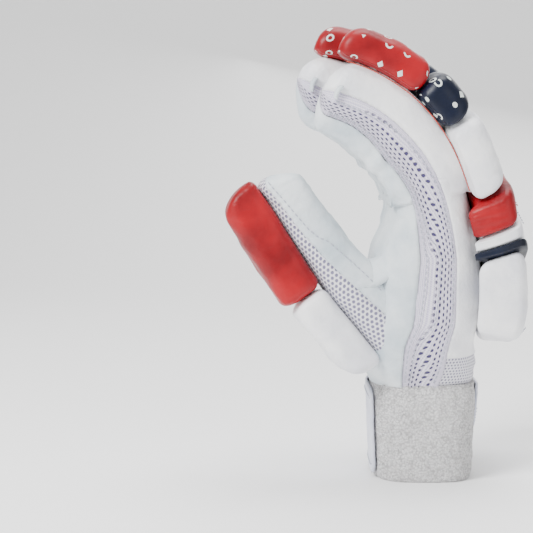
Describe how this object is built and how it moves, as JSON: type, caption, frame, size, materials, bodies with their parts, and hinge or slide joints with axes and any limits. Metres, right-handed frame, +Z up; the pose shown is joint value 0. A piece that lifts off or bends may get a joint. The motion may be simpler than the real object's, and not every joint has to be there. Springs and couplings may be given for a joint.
{
  "type": "cricket batting glove",
  "caption": "Padded right-hand batting glove with rolled finger padding, chevron knuckle band, leather palm, mesh sides and a towelling cuff with strap.",
  "frame": {"origin": "on the surface that the cuff stands on, under the middle of the glove's outline", "axes": "+Z up along the hand to the fingertips, +X out of the back of the hand, -Y to the thumb side"},
  "size_m": [0.2006, 0.14, 0.3009],
  "materials": {
    "towelling": "looped terry towelling, warm grey white",
    "strap_pu": "smooth coated strap, bluish white",
    "air_mesh": "knitted air mesh with round holes",
    "knitted_gusset": "ribbed stretch knit with rows of holes, lilac white",
    "palm_leather": "thin dressed sheep leather, bluish white",
    "white_pu": "coated synthetic leather, white, satin",
    "red_pu": "coated synthetic leather, red, satin",
    "navy_pu": "coated synthetic leather, navy, satin"
  },
  "bodies": {
    "root": {"cuff": "towelling", "closure_strap": "strap_pu", "wrist_mesh": "air_mesh", "palm_leather": "palm_leather", "index_finger_leather": "palm_leather", "middle_finger_leather": "palm_leather", "ring_finger_leather": "palm_leather", "little_finger_leather": "palm_leather", "back_leather": "white_pu", "index_finger_back": "white_pu", "middle_finger_back": "white_pu", "ring_finger_back": "white_pu", "little_finger_back": "white_pu", "index_gusset": "knitted_gusset", "index_middle_gusset": "knitted_gusset", "middle_ring_gusset": "knitted_gusset", "ring_little_gusset": "knitted_gusset", "little_gusset": "knitted_gusset", "thumb_leather": "palm_leather", "thumb_mesh": "air_mesh", "thumb_base_pad": "white_pu", "thumb_roll": "red_pu", "knuckle_band": "red_pu", "back_panel": "white_pu", "piping": "navy_pu", "wrist_panel": "white_pu", "index_base_roll": "white_pu", "index_middle_roll": "navy_pu", "index_tip_roll": "red_pu", "middle_base_roll": "white_pu", "middle_middle_roll": "navy_pu", "middle_tip_roll": "red_pu", "ring_long_roll": "white_pu", "ring_tip_roll": "white_pu", "little_long_roll": "white_pu", "little_tip_roll": "white_pu", "index_tip_tab": "palm_leather", "middle_tip_tab": "palm_leather", "ring_tip_tab": "palm_leather", "little_tip_tab": "palm_leather"}
  },
  "joints": []
}
